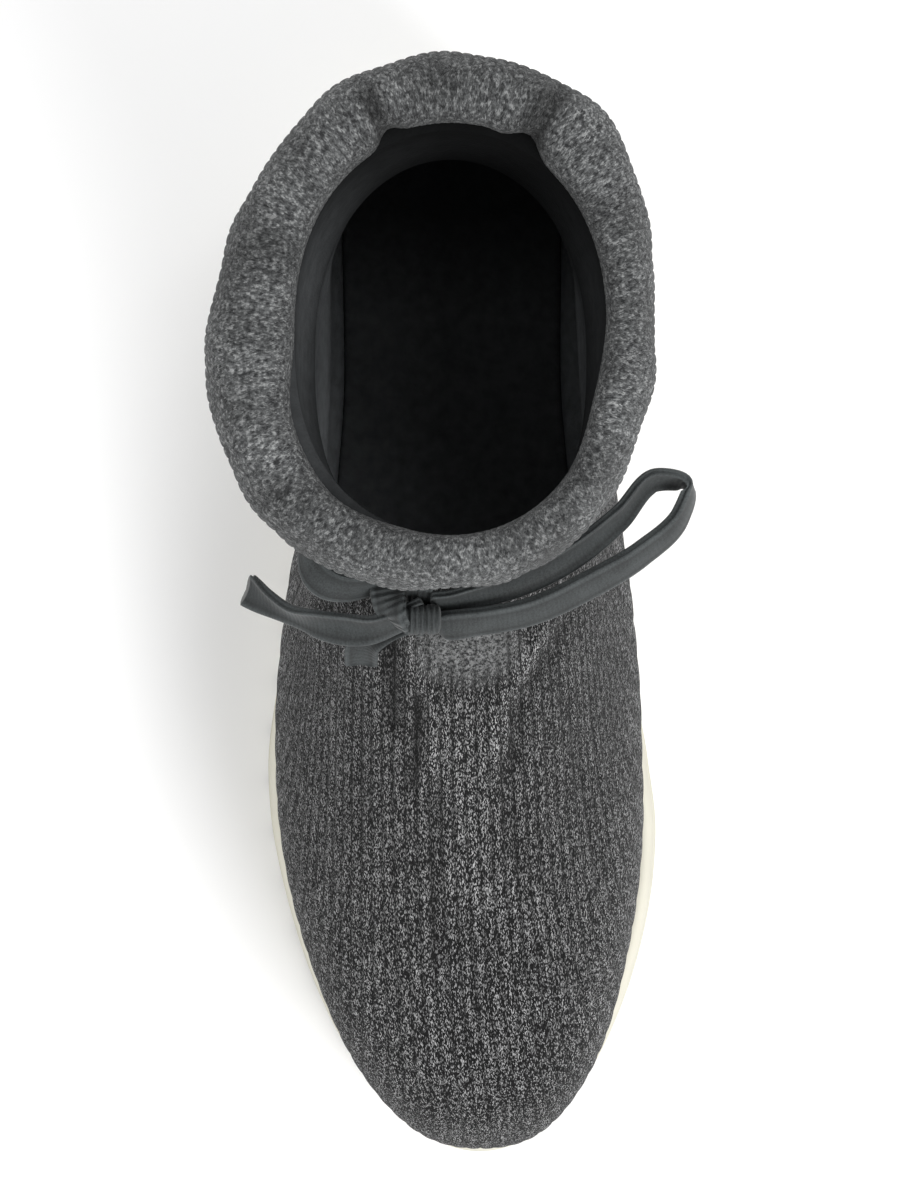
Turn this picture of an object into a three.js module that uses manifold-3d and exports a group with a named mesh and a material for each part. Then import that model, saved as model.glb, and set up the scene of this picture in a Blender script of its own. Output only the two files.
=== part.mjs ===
// Knit high-top sneaker, right foot: a ribbed sock of an upper on a flared sole, with a turned
// cuff and a tape tied in a half bow at the front of the ankle.
// Millimetres. X runs from heel to toe, Y towards the inner side of the foot, Z up.
import * as THREE from 'three';
import { ParametricGeometry } from 'three/addons/geometries/ParametricGeometry.js';
import { mergeVertices } from 'three/addons/utils/BufferGeometryUtils.js';
import Module from 'manifold-3d';

const wasm = await Module();
wasm.setup();

// Sole
const SOLE_LENGTH = 270;
const BALL_WIDTH = 99.4;
const TOE_SPRING = 9.5;
const RIM_LEVEL = 31.5;
const RIM_RISE = 7;
const RIM_WALL = 2.4;
const SIDE_FLARE = 2.6;
const OUTSOLE_THICKNESS = 5.5;
const SOLE_BEVEL = 2;
const SIDE_STEP = 0.9;
const TREAD_DEPTH = 2.2;
const TREAD_GROOVE = 3;
const TREAD_PITCH = 13;
const INSOLE_THICKNESS = 4;

// Upper and cuff. The cuff folds over above the shaft's rim, hangs down to a gap above the tie
// and reaches out from the shaft's wall.
const TIE_LEVEL = 122;
const CUFF_TOP = 175;
const CUFF_FOLD = 11;
const CUFF_GAP = 8;
const CUFF_REACH = 17.6;
const CUFF_WALL = 3;
const CUFF_DROP = CUFF_TOP - TIE_LEVEL - CUFF_GAP;
const SHAFT_TOP = CUFF_TOP - CUFF_FOLD;
const SHAFT_WIDTH = 76;
const UPPER_WALL = 2.6;

// Tie
const TAPE_WIDTH = 8;
const TAPE_THICKNESS = 2;
const TAPE_SLACK = 15;
const KNOT_DEPTH = 12;
const KNOT_WIDTH = 16;
const KNOT_HEIGHT = 11;
const KNOT_OFFSET = -10.2;

// Space between pieces that touch
const CLEARANCE = 0.3;

// Points round each ring, and the step of a tape along its length
const AROUND = 48;
const TAPE_STEP = 5;

// The sole seen from above. along is the share of the length from the heel, centre and half are
// shares of the ball width: the middle of the sole and half its width, before the ends round off.
const SOLE_PLAN = [
  { along: 0.12, centre: 0.003, half: 0.36 },
  { along: 0.25, centre: 0.005, half: 0.357 },
  { along: 0.37, centre: 0.008, half: 0.38 },
  { along: 0.48, centre: 0.013, half: 0.432 },
  { along: 0.56, centre: 0.014, half: 0.465 },
  { along: 0.63, centre: 0.02, half: 0.494 },
  { along: 0.68, centre: 0.032, half: 0.5 },
  { along: 0.76, centre: 0.047, half: 0.5 },
  { along: 0.9, centre: 0.062, half: 0.5 },
  { along: 1, centre: 0.075, half: 0.5 },
];

// The widest line of the foot above the sole, in the same shares.
const FOOT_PLAN = [
  { along: 0.12, centre: 0.003, half: 0.335 },
  { along: 0.25, centre: 0.015, half: 0.352 },
  { along: 0.37, centre: 0.027, half: 0.389 },
  { along: 0.48, centre: 0.022, half: 0.44 },
  { along: 0.59, centre: 0.02, half: 0.466 },
  { along: 0.68, centre: 0.026, half: 0.468 },
  { along: 0.81, centre: 0.043, half: 0.468 },
  { along: 0.92, centre: 0.065, half: 0.468 },
  { along: 1, centre: 0.077, half: 0.468 },
];

// The sole seen from the side. lift is the share of the toe spring that the tread is off the
// floor, rim is the share of the rim level at the heel.
const SOLE_SIDE = [
  { along: 0, lift: 0.3, rim: 1 },
  { along: 0.05, lift: 0, rim: 0.99 },
  { along: 0.22, lift: 0, rim: 0.905 },
  { along: 0.36, lift: 0.24, rim: 0.825 },
  { along: 0.5, lift: 0, rim: 0.778 },
  { along: 0.6, lift: 0, rim: 0.762 },
  { along: 0.72, lift: 0, rim: 0.765 },
  { along: 0.85, lift: 0.27, rim: 0.79 },
  { along: 0.95, lift: 0.7, rim: 0.865 },
  { along: 1, lift: 1, rim: 0.93 },
];

// Rings of the foot, from above the rim up to the tie. front and rear are shares of the sole
// length, toe and heel are the levels of the two ends as shares of the tie level, foot is the
// share of the foot plan's width, shaft is the share of the shaft width, ankle is how far the
// ring has turned from the foot's plan into the ankle's oval, and free how far it has left the rim.
const FOOT_RINGS = [
  { front: 0.992, toe: 0.287, rear: 0.007, heel: 0.344, foot: 1, shaft: 1, ankle: 0, free: 0.75 },
  { front: 0.981, toe: 0.357, rear: 0.006, heel: 0.426, foot: 0.992, shaft: 1, ankle: 0.05, free: 1 },
  { front: 0.961, toe: 0.41, rear: 0.009, heel: 0.508, foot: 0.965, shaft: 0.98, ankle: 0.1, free: 1 },
  { front: 0.924, toe: 0.447, rear: 0.017, heel: 0.582, foot: 0.935, shaft: 0.96, ankle: 0.2, free: 1 },
  { front: 0.872, toe: 0.475, rear: 0.026, heel: 0.648, foot: 0.9, shaft: 0.95, ankle: 0.3, free: 1 },
  { front: 0.809, toe: 0.508, rear: 0.037, heel: 0.709, foot: 0.87, shaft: 0.94, ankle: 0.42, free: 1 },
  { front: 0.743, toe: 0.553, rear: 0.048, heel: 0.762, foot: 0.83, shaft: 0.94, ankle: 0.55, free: 1 },
  { front: 0.676, toe: 0.611, rear: 0.057, heel: 0.811, foot: 0.82, shaft: 0.94, ankle: 0.68, free: 1 },
  { front: 0.613, toe: 0.68, rear: 0.066, heel: 0.857, foot: 0.82, shaft: 0.94, ankle: 0.8, free: 1 },
  { front: 0.556, toe: 0.754, rear: 0.072, heel: 0.898, foot: 0.83, shaft: 0.94, ankle: 0.9, free: 1 },
  { front: 0.509, toe: 0.828, rear: 0.077, heel: 0.934, foot: 0.85, shaft: 0.94, ankle: 0.97, free: 1 },
  { front: 0.476, toe: 0.898, rear: 0.081, heel: 0.967, foot: 0.87, shaft: 0.93, ankle: 1, free: 1 },
  { front: 0.457, toe: 0.955, rear: 0.083, heel: 1, foot: 0.87, shaft: 0.915, ankle: 1, free: 1 },
  { front: 0.452, toe: 1, rear: 0.084, heel: 1.033, foot: 0.87, shaft: 0.905, ankle: 1, free: 1 },
];

// Rings of the shaft above the tie. level is the share of the rise from the tie to the top.
const SHAFT_RINGS = [
  { front: 0.446, rear: 0.082, level: 0.17, shaft: 0.93 },
  { front: 0.443, rear: 0.078, level: 0.42, shaft: 0.968 },
  { front: 0.438, rear: 0.074, level: 0.71, shaft: 0.99 },
  { front: 0.431, rear: 0.072, level: 1, shaft: 1 },
];

// How far the cuff stands out, as shares of its reach, at each share of the turn from the toe
// round the inner side.
const CUFF_PLAN = [
  { along: 0, reach: 0.55 },
  { along: 0.125, reach: 0.51 },
  { along: 0.25, reach: 0.5 },
  { along: 0.375, reach: 0.8 },
  { along: 0.5, reach: 0.91 },
  { along: 0.625, reach: 0.77 },
  { along: 0.75, reach: 1 },
  { along: 0.875, reach: 0.82 },
  { along: 1, reach: 0.55 },
];

// The cuff's section, from its seat on the shaft over the fold and down outside. out is the share
// of the way from the collar's inner face to the cuff's widest line, level of the cuff's drop.
const CUFF_SECTION = [
  { out: 0.02, level: 0.87 },
  { out: 0.08, level: 0.94 },
  { out: 0.2, level: 0.985 },
  { out: 0.4, level: 1 },
  { out: 0.62, level: 0.97 },
  { out: 0.82, level: 0.89 },
  { out: 0.95, level: 0.76 },
  { out: 1, level: 0.58 },
  { out: 0.99, level: 0.35 },
  { out: 0.95, level: 0.15 },
  { out: 0.9, level: 0.02 },
];

// Routes of the tape from the knot's middle, with the direction across the tape at each point.
const LOOP_ROUTE = [
  { at: [-1.2, 9, 0], across: [-0.6, 0, 0.8] },
  { at: [-2.6, 14.5, 0], across: [-0.6, 0, 0.8] },
  { at: [-6.3, 26.7, -1], across: [-0.7, -0.1, 0.7] },
  { at: [-12.2, 38.5, -3], across: [-0.7, -0.2, 0.68] },
  { at: [-21.5, 50.3, -6], across: [-0.6, -0.2, 0.77] },
  { at: [-30.5, 59.2, -8], across: [-0.45, -0.2, 0.87] },
  { at: [-29, 66.2, -9], across: [-0.4, -0.2, 0.87] },
  { at: [-22, 64.5, -8.5], across: [-0.5, -0.2, 0.84] },
  { at: [-13.2, 55.4, -7], across: [-0.6, -0.2, 0.77] },
  { at: [-6, 43.4, -5], across: [-0.7, -0.2, 0.68] },
  { at: [0.7, 28.5, -3], across: [-0.7, -0.1, 0.7] },
  { at: [2.9, 16.9, -2], across: [-0.7, 0, 0.7] },
  { at: [3.8, 9, -1.2], across: [-0.7, 0, 0.7] },
];
const LONG_TAIL_ROUTE = [
  { at: [4.8, -8.2, -0.6], across: [-0.7, 0, 0.7] },
  { at: [4.9, -14.5, -3], across: [-0.85, 0, 0.5] },
  { at: [3.9, -20.5, -5.5], across: [-0.75, 0, 0.65] },
  { at: [2, -26.6, -9], across: [-0.4, 0, 0.9] },
  { at: [-1.3, -33, -13.3], across: [-0.4, -0.1, 0.9] },
  { at: [-4.5, -38.3, -18], across: [-0.6, -0.3, 0.75] },
];
const SHORT_TAIL_ROUTE = [
  { at: [2, 1.6, -6.8], across: [1, 0, 0.1] },
  { at: [4.5, -5.8, -10], across: [0.8, 0.5, 0] },
  { at: [8.5, -10.6, -13.5], across: [0.3, 0.9, 0] },
  { at: [13, -11.2, -18.5], across: [0, 1, 0] },
];

const TURNS = Array.from({ length: AROUND }, (item, index) => index / AROUND);
const mix = THREE.MathUtils.lerp;

// Smooth value of a table's column at a share of the length, flat where two rows are alike.
function read(table, column, along) {
  const last = table.length - 1;
  const place = THREE.MathUtils.clamp(along, table[0].along, table[last].along);
  const found = table.findIndex((row) => row.along >= place);
  const index = THREE.MathUtils.clamp(found, 1, last);
  const span = (i) => table[i].along - table[i - 1].along;
  const slope = (i) => (table[i][column] - table[i - 1][column]) / span(i);
  const tangent = (i) => {
    if (i === 0 || i === last || slope(i) * slope(i + 1) <= 0) {
      return 0;
    }
    return (2 * slope(i) * slope(i + 1)) / (slope(i) + slope(i + 1));
  };
  const t = (place - table[index - 1].along) / span(index);
  const blend = t * t * (3 - 2 * t);
  const start = t * (1 - t) * (1 - t) * span(index) * tangent(index - 1);
  const end = t * t * (1 - t) * span(index) * tangent(index);
  return mix(table[index - 1][column], table[index][column], blend) + start - end;
}

// One point of a closed plan whose sides follow centre and half and whose ends round off.
// turn runs from 0 at the toe round the inner side, the heel and the outer side.
function planPoint(turn, front, rear, centre, half, round) {
  const angle = turn * 2 * Math.PI;
  const length = front - rear;
  const x = (front + rear) / 2 + (length / 2) * Math.cos(angle);
  const ahead = Math.max(0, 1 - (front - x) / (round.toe * length));
  const behind = Math.max(0, 1 - (x - rear) / (round.heel * length));
  const fullness = (1 - ahead ** round.toePower) * (1 - behind ** round.heelPower);
  const side = turn < 0.5 ? 1 : -1;
  return new THREE.Vector3(x, centre(x) + side * half(x) * Math.sqrt(Math.max(0, fullness)), 0);
}

// Outward direction of a ring at one of its points, seen from above.
function outward(ring, index) {
  const before = ring[(index + AROUND - 1) % AROUND];
  const after = ring[(index + 1) % AROUND];
  return new THREE.Vector3(after.y - before.y, before.x - after.x, 0).normalize();
}

// A ring moved in from another by a distance, at the level given for each place along the shoe.
function insetRing(ring, inset, level) {
  return ring.map((point, index) => {
    const moved = point.clone().addScaledVector(outward(ring, index), -inset);
    return moved.setZ(level(moved.x));
  });
}

// The line along the middle of a ring, which closes the face inside it.
function spine(ring) {
  return ring.map((point, index) => point.clone().lerp(ring[(AROUND - index) % AROUND], 0.5));
}

// A geometry with its seams joined and its empty triangles left out.
function weld(geometry) {
  geometry.deleteAttribute('uv');
  geometry.deleteAttribute('normal');
  const joined = mergeVertices(geometry, 0.0005);
  const corners = joined.index.array;
  const kept = [];
  for (let i = 0; i < corners.length; i += 3) {
    const triangle = [corners[i], corners[i + 1], corners[i + 2]];
    if (new Set(triangle).size === 3) {
      kept.push(...triangle);
    }
  }
  joined.setIndex(kept);
  joined.computeVertexNormals();
  return joined;
}

// The closed skin over a row of rings. A tube's last ring meets its first one.
function skin(rings, isTube) {
  const rows = isTube ? [...rings, rings[0]] : rings;
  const around = rings[0].length;
  const place = (u, v, target) => {
    const row = rows[Math.round(v * (rows.length - 1))];
    target.copy(row[Math.round(u * around) % around]);
  };
  return weld(new ParametricGeometry(place, around, rows.length - 1));
}

// Levels of the sole along the shoe.
const lift = (x) => TOE_SPRING * read(SOLE_SIDE, 'lift', x / SOLE_LENGTH);
const rimLevel = (x) => RIM_LEVEL * read(SOLE_SIDE, 'rim', x / SOLE_LENGTH);
const footbedLevel = (x) => rimLevel(x) - RIM_RISE;
const soleCentre = (x) => BALL_WIDTH * read(SOLE_PLAN, 'centre', x / SOLE_LENGTH);
const soleHalf = (x) => BALL_WIDTH * read(SOLE_PLAN, 'half', x / SOLE_LENGTH);
const soleEnds = { toe: 0.32, heel: 0.124, toePower: 1.62, heelPower: 2.3 };
const soleOutline = TURNS.map((turn) => planPoint(turn, SOLE_LENGTH, 0, soleCentre, soleHalf, soleEnds));

// Where the upper's foot stands inside the rim.
const seatInset = SIDE_FLARE + RIM_WALL + CLEARANCE;

function outsoleGeometry() {
  const under = (height) => (x) => lift(x) + height;
  const tread = insetRing(soleOutline, SOLE_BEVEL, under(0));
  const top = insetRing(soleOutline, 0, under(OUTSOLE_THICKNESS));
  const rings = [
    spine(tread),
    tread,
    insetRing(soleOutline, SOLE_BEVEL * 0.3, under(SOLE_BEVEL * 0.35)),
    insetRing(soleOutline, 0, under(SOLE_BEVEL)),
    top,
    spine(top),
  ];
  return cut(skin(rings, false), treadGrooves());
}

// Cross grooves between the lugs.
function treadGrooves() {
  const tools = [];
  const first = TREAD_PITCH * 1.5;
  for (let x = first; x < SOLE_LENGTH - TREAD_PITCH; x += TREAD_PITCH) {
    const groove = new THREE.BoxGeometry(TREAD_GROOVE, BALL_WIDTH * 2, TREAD_DEPTH * 2);
    groove.translate(x, 0, lift(x));
    tools.push(groove);
  }
  return tools;
}

function asSolid(geometry) {
  const vertProperties = new Float32Array(geometry.attributes.position.array);
  const triVerts = new Uint32Array(geometry.index.array);
  return new wasm.Manifold(new wasm.Mesh({ numProp: 3, vertProperties, triVerts }));
}

// A geometry with each of the tools cut out of it.
function cut(geometry, tools) {
  let solid = asSolid(geometry);
  for (const tool of tools) {
    solid = solid.subtract(asSolid(weld(tool)));
  }
  const mesh = solid.getMesh();
  const result = new THREE.BufferGeometry();
  result.setAttribute('position', new THREE.BufferAttribute(mesh.vertProperties, 3));
  result.setIndex(new THREE.BufferAttribute(mesh.triVerts, 1));
  result.computeVertexNormals();
  return result;
}

// The foam unit: a stepped side that leans in towards a rim, and a footbed inside the rim.
function midsoleGeometry() {
  const base = (x) => lift(x) + OUTSOLE_THICKNESS + CLEARANCE;
  const share = (part) => (x) => mix(base(x), rimLevel(x), part);
  const bottom = insetRing(soleOutline, SIDE_STEP, base);
  const footbed = insetRing(soleOutline, seatInset - CLEARANCE, footbedLevel);
  const rings = [
    spine(bottom),
    bottom,
    insetRing(soleOutline, SIDE_STEP / 2, share(0.08)),
    insetRing(soleOutline, SIDE_FLARE * 0.3, share(0.46)),
    insetRing(soleOutline, SIDE_FLARE * 0.3 + SIDE_STEP, share(0.5)),
    insetRing(soleOutline, SIDE_FLARE * 0.35 + SIDE_STEP, share(0.56)),
    insetRing(soleOutline, SIDE_FLARE * 0.4, share(0.6)),
    insetRing(soleOutline, SIDE_FLARE * 0.8, share(0.92)),
    insetRing(soleOutline, SIDE_FLARE + RIM_WALL * 0.35, share(1)),
    insetRing(soleOutline, seatInset - CLEARANCE, share(1)),
    footbed,
    spine(footbed),
  ];
  return skin(rings, false);
}

function insoleGeometry() {
  const inset = seatInset + UPPER_WALL + CLEARANCE;
  const under = (x) => footbedLevel(x) + CLEARANCE;
  const over = (x) => under(x) + INSOLE_THICKNESS;
  const bottom = insetRing(soleOutline, inset, under);
  const top = insetRing(soleOutline, inset + INSOLE_THICKNESS * 0.3, over);
  const shoulder = insetRing(soleOutline, inset, (x) => under(x) + INSOLE_THICKNESS * 0.7);
  return skin([spine(bottom), bottom, shoulder, top, spine(top)], false);
}

// A free ring of the upper from its row: front and rear of the ring, its levels at both ends, and
// how far it has turned from the foot's plan into the ankle's oval.
function freeRing(row) {
  const front = row.front * SOLE_LENGTH;
  const rear = row.rear * SOLE_LENGTH;
  const ankleHalf = (row.shaft * SHAFT_WIDTH) / 2;
  const footCentre = (x) => BALL_WIDTH * read(FOOT_PLAN, 'centre', x / SOLE_LENGTH);
  const footHalf = (x) => row.foot * BALL_WIDTH * read(FOOT_PLAN, 'half', x / SOLE_LENGTH);
  const centre = (x) => mix(footCentre(x), 0, row.ankle);
  const half = (x) => mix(footHalf(x), ankleHalf, row.ankle);
  const round = {
    toe: mix(0.35, 0.5, row.ankle ** 3),
    heel: mix(0.13, 0.5, row.ankle ** 2),
    toePower: mix(1.9, 2.5, row.ankle),
    heelPower: 2.3,
  };
  return TURNS.map((turn) => {
    const point = planPoint(turn, front, rear, centre, half, round);
    return point.setZ(mix(row.heelLevel, row.toeLevel, (point.x - rear) / (front - rear)));
  });
}

function footRing(row) {
  const levels = { toeLevel: row.toe * TIE_LEVEL, heelLevel: row.heel * TIE_LEVEL };
  const seat = insetRing(soleOutline, seatInset, rimLevel);
  return freeRing({ ...row, ...levels }).map((point, index) => seat[index].lerp(point, row.free));
}

function shaftRing(row) {
  const tie = FOOT_RINGS[FOOT_RINGS.length - 1];
  const toeLevel = mix(TIE_LEVEL * tie.toe, SHAFT_TOP, row.level);
  const heelLevel = mix(TIE_LEVEL * tie.heel, SHAFT_TOP, row.level);
  return freeRing({ ...row, toeLevel, heelLevel, ankle: 1, foot: 1 });
}

// Outer rings of the upper, from the footbed up to the top of the shaft.
const outerRings = [
  insetRing(soleOutline, seatInset, (x) => footbedLevel(x) + CLEARANCE),
  insetRing(soleOutline, seatInset, rimLevel),
  ...FOOT_RINGS.map(footRing),
  ...SHAFT_RINGS.map(shaftRing),
];
const tieRing = 1 + FOOT_RINGS.length;

// Direction out of the upper at a point of one of its rings.
function upperNormal(row, index) {
  const below = outerRings[Math.max(0, row - 1)][index];
  const above = outerRings[Math.min(outerRings.length - 1, row + 1)][index];
  const ring = outerRings[row];
  const before = ring[(index + AROUND - 1) % AROUND];
  const after = ring[(index + 1) % AROUND];
  const forward = new THREE.Vector3().subVectors(after, before);
  return forward.cross(new THREE.Vector3().subVectors(above, below)).normalize();
}

// Inner rings, a wall's thickness in. The two end rings keep their levels, so both rims are flat.
function innerRing(row) {
  const isEnd = row === 0 || row === outerRings.length - 1;
  return outerRings[row].map((point, index) => {
    const moved = point.clone().addScaledVector(upperNormal(row, index), -UPPER_WALL);
    return isEnd ? moved.setZ(point.z) : moved;
  });
}

const innerRings = outerRings.map((ring, row) => innerRing(row));

function upperGeometry() {
  return skin([...outerRings, ...innerRings.slice().reverse()], true);
}

// The cuff's outer section at a turn, as points of out and level, and the same a wall inside.
function cuffSection(turn) {
  const reach = UPPER_WALL + CUFF_REACH * read(CUFF_PLAN, 'reach', turn);
  const hem = CUFF_TOP - CUFF_DROP;
  const outer = [new THREE.Vector2(-UPPER_WALL, SHAFT_TOP + CLEARANCE)];
  for (const row of CUFF_SECTION) {
    outer.push(new THREE.Vector2(row.out * reach - UPPER_WALL, hem + row.level * CUFF_DROP));
  }
  const inner = outer.map((point, index) => {
    const before = outer[Math.max(0, index - 1)];
    const after = outer[Math.min(outer.length - 1, index + 1)];
    const along = new THREE.Vector2().subVectors(after, before).normalize();
    return new THREE.Vector2(point.x + along.y * CUFF_WALL, point.y - along.x * CUFF_WALL);
  });
  inner[0].setY(SHAFT_TOP + CLEARANCE);
  return [...outer, ...inner.reverse()];
}

function cuffGeometry() {
  const collar = outerRings[outerRings.length - 1];
  const sections = TURNS.map(cuffSection);
  const rings = sections[0].map((corner, place) => {
    return collar.map((point, index) => {
      const { x: out, y: level } = sections[index][place];
      return point.clone().addScaledVector(outward(collar, index), out).setZ(level);
    });
  });
  return skin(rings.reverse(), true);
}

// The tape round the ankle lies on the upper and hangs slack in front on the outer side.
function tieBandGeometry() {
  const slackTurn = 0.9;
  const slackSpread = 0.062;
  const slack = (index) => {
    const away = (index / AROUND - slackTurn) / slackSpread;
    return TAPE_SLACK * Math.max(0, 1 - away * away) ** 2;
  };
  const edge = (rise, distance) => outerRings[tieRing].map((point, index) => {
    const neighbour = outerRings[tieRing + Math.sign(rise)][index];
    const share = rise === 0 ? 0 : rise / (neighbour.z - point.z);
    const onWall = point.clone().lerp(neighbour, share);
    return onWall.addScaledVector(upperNormal(tieRing, index), distance + slack(index));
  });
  const half = TAPE_WIDTH / 2;
  const face = CLEARANCE + TAPE_THICKNESS;
  const outside = [edge(-half, face), edge(0, face), edge(half, face)];
  const inside = [edge(half, CLEARANCE), edge(0, CLEARANCE), edge(-half, CLEARANCE)];
  return skin([...outside, ...inside], true);
}

// The knot stands against the tape in front of the ankle.
const tieFront = outerRings[tieRing][0];
const knotCentre = new THREE.Vector3(
  tieFront.x + TAPE_THICKNESS + 2 * CLEARANCE + KNOT_DEPTH / 2,
  KNOT_OFFSET,
  tieFront.z - CLEARANCE,
);

function knotGeometry() {
  const knot = weld(new THREE.SphereGeometry(1, 14, 10));
  const corners = knot.attributes.position;
  const swell = (value) => Math.sign(value) * Math.abs(value) ** 0.7;
  for (let i = 0; i < corners.count; i += 1) {
    corners.setXYZ(i, swell(corners.getX(i)), swell(corners.getY(i)), swell(corners.getZ(i)));
  }
  knot.scale(KNOT_DEPTH / 2, KNOT_WIDTH / 2, KNOT_HEIGHT / 2);
  knot.translate(knotCentre.x, knotCentre.y, knotCentre.z);
  knot.computeVertexNormals();
  return knot;
}

// A flat tape along a route, with rounded edges and closed ends.
function tapeGeometry(route) {
  const points = route.map((row) => new THREE.Vector3(...row.at).add(knotCentre));
  const across = route.map((row) => new THREE.Vector3(...row.across));
  const path = new THREE.CatmullRomCurve3(points);
  const lean = new THREE.CatmullRomCurve3(across);
  const steps = Math.round(path.getLength() / TAPE_STEP);
  const quarter = [[0.5, 0.2], [0.42, 0.5]];
  const half = [...quarter, ...quarter.map(([w, h]) => [-w, h]).reverse()];
  const corners = [...half, ...half.map(([w, h]) => [-w, -h])];
  const rings = [];
  for (let step = 0; step <= steps; step += 1) {
    const t = step / steps;
    const centre = path.getPoint(t);
    const along = path.getTangent(t);
    const wide = lean.getPoint(t).projectOnPlane(along).normalize();
    const thick = new THREE.Vector3().crossVectors(along, wide);
    rings.push(corners.map(([w, h]) => {
      const corner = centre.clone().addScaledVector(wide, w * TAPE_WIDTH);
      return corner.addScaledVector(thick, h * TAPE_THICKNESS);
    }));
  }
  const end = (ring) => ring.map(() => {
    const middle = new THREE.Vector3();
    ring.forEach((point) => middle.addScaledVector(point, 1 / ring.length));
    return middle;
  });
  return skin([end(rings[0]), ...rings, end(rings[steps])], false);
}

const rubber = { color: 0xe3dfcc, roughness: 0.6, metalness: 0 };
const foam = { color: 0xe4e1d6, roughness: 0.7, metalness: 0 };
const lining = { color: 0x1c1d1d, roughness: 0.9, metalness: 0 };
const knit = { color: 0x505152, roughness: 0.95, metalness: 0 };
const cuffKnit = { color: 0x5f6061, roughness: 0.95, metalness: 0 };
const tape = { color: 0x323536, roughness: 0.8, metalness: 0 };

function mesh(name, geometry, look) {
  const piece = new THREE.Mesh(geometry, new THREE.MeshStandardMaterial(look));
  piece.name = name;
  return piece;
}

const shoe = new THREE.Group();
shoe.add(mesh('outsole', outsoleGeometry(), rubber));
shoe.add(mesh('midsole', midsoleGeometry(), foam));
shoe.add(mesh('insole', insoleGeometry(), lining));
shoe.add(mesh('upper', upperGeometry(), knit));
shoe.add(mesh('cuff', cuffGeometry(), cuffKnit));
shoe.add(mesh('tie_band', tieBandGeometry(), tape));

// The origin is on the floor under the middle of the shoe without its bow.
const extent = new THREE.Box3().setFromObject(shoe);
const middle = extent.getCenter(new THREE.Vector3());
shoe.position.set(-middle.x, -middle.y, -extent.min.z);

shoe.add(mesh('tie_knot', knotGeometry(), tape));
shoe.add(mesh('tie_loop', tapeGeometry(LOOP_ROUTE), tape));
shoe.add(mesh('tie_tail_long', tapeGeometry(LONG_TAIL_ROUTE), tape));
shoe.add(mesh('tie_tail_short', tapeGeometry(SHORT_TAIL_ROUTE), tape));

export default shoe;
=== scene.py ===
import math

import bmesh
import bpy
import numpy as np
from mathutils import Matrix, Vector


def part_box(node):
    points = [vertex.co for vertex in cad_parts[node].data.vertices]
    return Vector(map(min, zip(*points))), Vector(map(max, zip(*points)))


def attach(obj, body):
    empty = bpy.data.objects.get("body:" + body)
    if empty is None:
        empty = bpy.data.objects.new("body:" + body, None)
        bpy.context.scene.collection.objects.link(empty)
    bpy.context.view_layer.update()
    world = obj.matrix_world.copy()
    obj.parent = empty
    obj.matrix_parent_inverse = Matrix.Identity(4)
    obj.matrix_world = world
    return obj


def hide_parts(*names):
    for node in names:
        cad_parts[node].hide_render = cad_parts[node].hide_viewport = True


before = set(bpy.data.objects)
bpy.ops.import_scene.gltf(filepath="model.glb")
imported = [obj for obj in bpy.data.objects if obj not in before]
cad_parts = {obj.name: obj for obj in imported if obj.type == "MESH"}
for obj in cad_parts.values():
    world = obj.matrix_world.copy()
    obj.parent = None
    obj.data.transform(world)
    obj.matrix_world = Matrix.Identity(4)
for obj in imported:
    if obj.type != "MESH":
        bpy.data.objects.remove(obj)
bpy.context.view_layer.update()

# Studio. The camera hangs over the shoe with the toe towards the bottom of the picture, above a
# pale floor lit by three wide soft lamps and an even white room.
CAMERA_PLACE = (-0.0065, 0.00115, 1.3)
CAMERA_LENS = 150.15
FLOOR_SIZE = 6
ROOM_LIGHT = 0.62
LAMPS = [
    ("toe_lamp", (0.75, 0.6, 0.95), 0.6, 13),
    ("outer_lamp", (0.0, -0.9, 1.0), 0.8, 5),
    ("heel_lamp", (-0.8, 0.5, 1.2), 0.8, 7),
]


def add_node(tree, kind, links, **settings):
    """A shader node with its settings, its inputs joined to sockets or set to values."""
    made = tree.nodes.new(kind)
    for key, value in settings.items():
        setattr(made, key, value)
    for place, source in links.items():
        if isinstance(source, bpy.types.NodeSocket):
            tree.links.new(source, made.inputs[place])
        else:
            made.inputs[place].default_value = source
    return made


def maths(tree, operation, *inputs):
    """The result of a sum on sockets and numbers."""
    return add_node(tree, "ShaderNodeMath", dict(enumerate(inputs)), operation=operation).outputs[0]


def scaled(tree, colour, factor):
    """A colour made lighter or darker."""
    return add_node(tree, "ShaderNodeVectorMath", {0: colour, 3: factor}, operation="SCALE").outputs[0]


def shades_of(tree, factor, stops):
    """A colour from a ramp of places and colours."""
    ramp = add_node(tree, "ShaderNodeValToRGB", {0: factor})
    while len(ramp.color_ramp.elements) < len(stops):
        ramp.color_ramp.elements.new(0.5)
    for element, (place, shade) in zip(ramp.color_ramp.elements, stops):
        element.position = place
        element.color = (*shade, 1)
    return ramp.outputs[0]


def noise(tree, place, scale, detail, **values):
    """Soft noise over a piece."""
    inputs = {"Vector": place, "Scale": scale, "Detail": detail, **values}
    return add_node(tree, "ShaderNodeTexNoise", inputs).outputs[0]


def finish_with(tree, shader, colour, strength, depth, height):
    """The last joins of a finish: its colour and its bump."""
    bump = add_node(tree, "ShaderNodeBump", {"Strength": strength, "Distance": depth, "Height": height})
    tree.links.new(colour, shader.inputs["Base Color"])
    tree.links.new(bump.outputs[0], shader.inputs["Normal"])


def new_finish(name, **values):
    """A material with its Principled shader and that shader's plain values."""
    finish = bpy.data.materials.new(name)
    finish.use_nodes = True
    shader = finish.node_tree.nodes["Principled BSDF"]
    for socket, value in values.items():
        shader.inputs[socket.replace("_", " ")].default_value = value
    return finish, finish.node_tree, shader


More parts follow.
